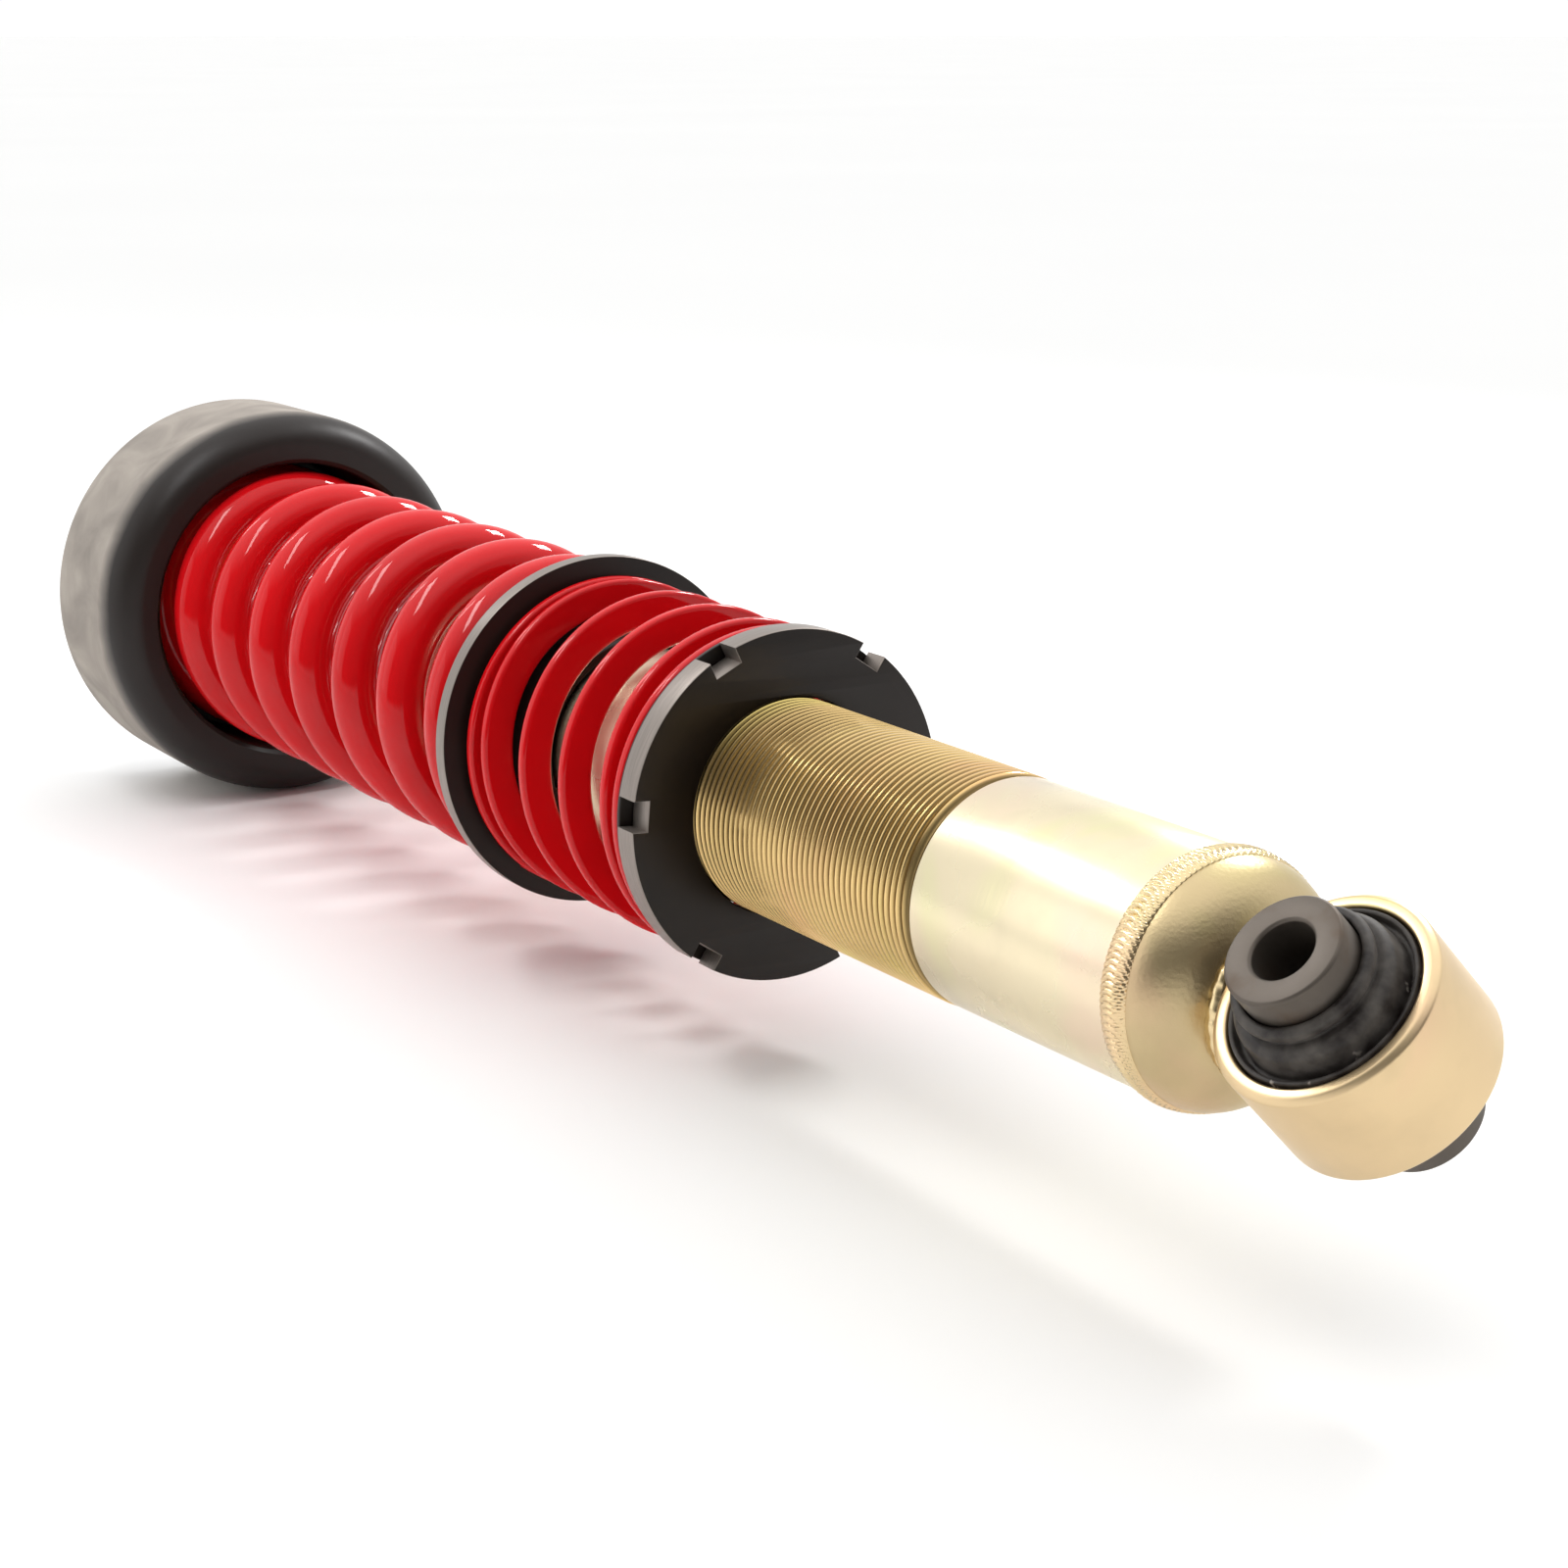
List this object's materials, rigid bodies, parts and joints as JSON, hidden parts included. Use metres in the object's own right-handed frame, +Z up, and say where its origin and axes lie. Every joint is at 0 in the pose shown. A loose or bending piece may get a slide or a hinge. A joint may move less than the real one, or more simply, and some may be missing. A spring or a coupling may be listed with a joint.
{
  "type": "coilover damper",
  "caption": "Coilover suspension damper with a coil main spring, flat-wire helper spring, threaded adjustable collar, rubber top mount and rubber-bushed lower eye.",
  "frame": {"origin": "centre of the top mount plate's outer face, on the shock axis", "axes": "+X along the shock axis from the top mount to the lower eye; +Z up as the unit lies on its side; the eye's axis is across the shock axis, leaning 44 degrees from +Z towards -Y"},
  "size_m": [0.5563, 0.117, 0.117],
  "materials": {
    "red_coat": "gloss powder coat",
    "gold_zinc": "yellow zinc plating, satin",
    "black_anodised": "black anodised, satin",
    "cup_rubber": "moulded, dusty",
    "bush_rubber": "moulded, matt",
    "bush_steel": "dull turned steel",
    "zinc_steel": "bright zinc plating",
    "hard_chrome": "ground hard chrome",
    "sintered_iron": "sintered, oiled",
    "bump_foam": "microcellular foam",
    "seal_polymer": "filled PTFE"
  },
  "bodies": {
    "top_mount": {"isolator_cup": "cup_rubber", "mount_plate": "zinc_steel", "mount_stud_1": "zinc_steel", "mount_stud_2": "zinc_steel", "mount_stud_3": "zinc_steel", "crush_sleeve": "zinc_steel", "upper_washer": "zinc_steel", "lower_washer": "zinc_steel", "rod_nut": "zinc_steel", "piston_rod": "hard_chrome", "bump_stop": "bump_foam", "rebound_stop": "seal_polymer", "rebound_shims": "zinc_steel", "piston": "sintered_iron", "piston_band": "seal_polymer", "compression_shims": "zinc_steel", "piston_nut": "zinc_steel"},
    "spring_carrier": {"upper_spring_seat": "black_anodised", "main_spring": "red_coat"},
    "spacer": {"spacer_ring": "black_anodised"},
    "perch": {"perch_washer": "black_anodised", "helper_spring": "red_coat"},
    "collar": {"threaded_collar": "black_anodised"},
    "damper_body": {"damper_tube": "gold_zinc", "gland_nut": "black_anodised", "rod_seal": "cup_rubber", "rod_guide": "sintered_iron", "inner_cylinder": "zinc_steel", "base_valve": "sintered_iron", "cap_weld": "gold_zinc", "end_dome": "gold_zinc", "eye_weld": "gold_zinc", "lower_eye": "gold_zinc", "bush_rubber": "bush_rubber"},
    "bush_core": {"bush_sleeve": "bush_steel"}
  },
  "joints": [
    {"name": "damper_swivel", "type": "hinge", "parent": "top_mount", "child": "spring_carrier", "pos_m": [0, 0, 0], "axis": [1, 0, 0], "continuous": true},
    {"name": "main_spring_travel", "type": "slide", "parent": "spring_carrier", "child": "spacer", "axis": [-1, 0, 0], "range_m": [0, 0.05], "stiffness_N_per_m": 45000, "deforming": ["main_spring"]},
    {"name": "helper_travel", "type": "slide", "parent": "spacer", "child": "perch", "axis": [-1, 0, 0], "range_m": [0, 0.03], "stiffness_N_per_m": 3000, "deforming": ["helper_spring"]},
    {"name": "collar_turn", "type": "hinge", "parent": "perch", "child": "collar", "pos_m": [0.3209, 0, 0], "axis": [1, 0, 0], "range_deg": [0, 3600]},
    {"name": "collar_height", "type": "slide", "parent": "perch", "child": "damper_body", "axis": [-1, 0, 0], "range_m": [0, 0.02]},
    {"name": "bush_twist", "type": "hinge", "parent": "damper_body", "child": "bush_core", "pos_m": [0.512, 0, 0], "axis": [0, -0.6947, 0.7193], "range_deg": [-15, 15], "stiffness_Nm_per_rad": 3}
  ],
  "couplings": [
    {"joint": "collar_turn", "follows": "collar_height", "rad_per_m": 3141.6}
  ]
}
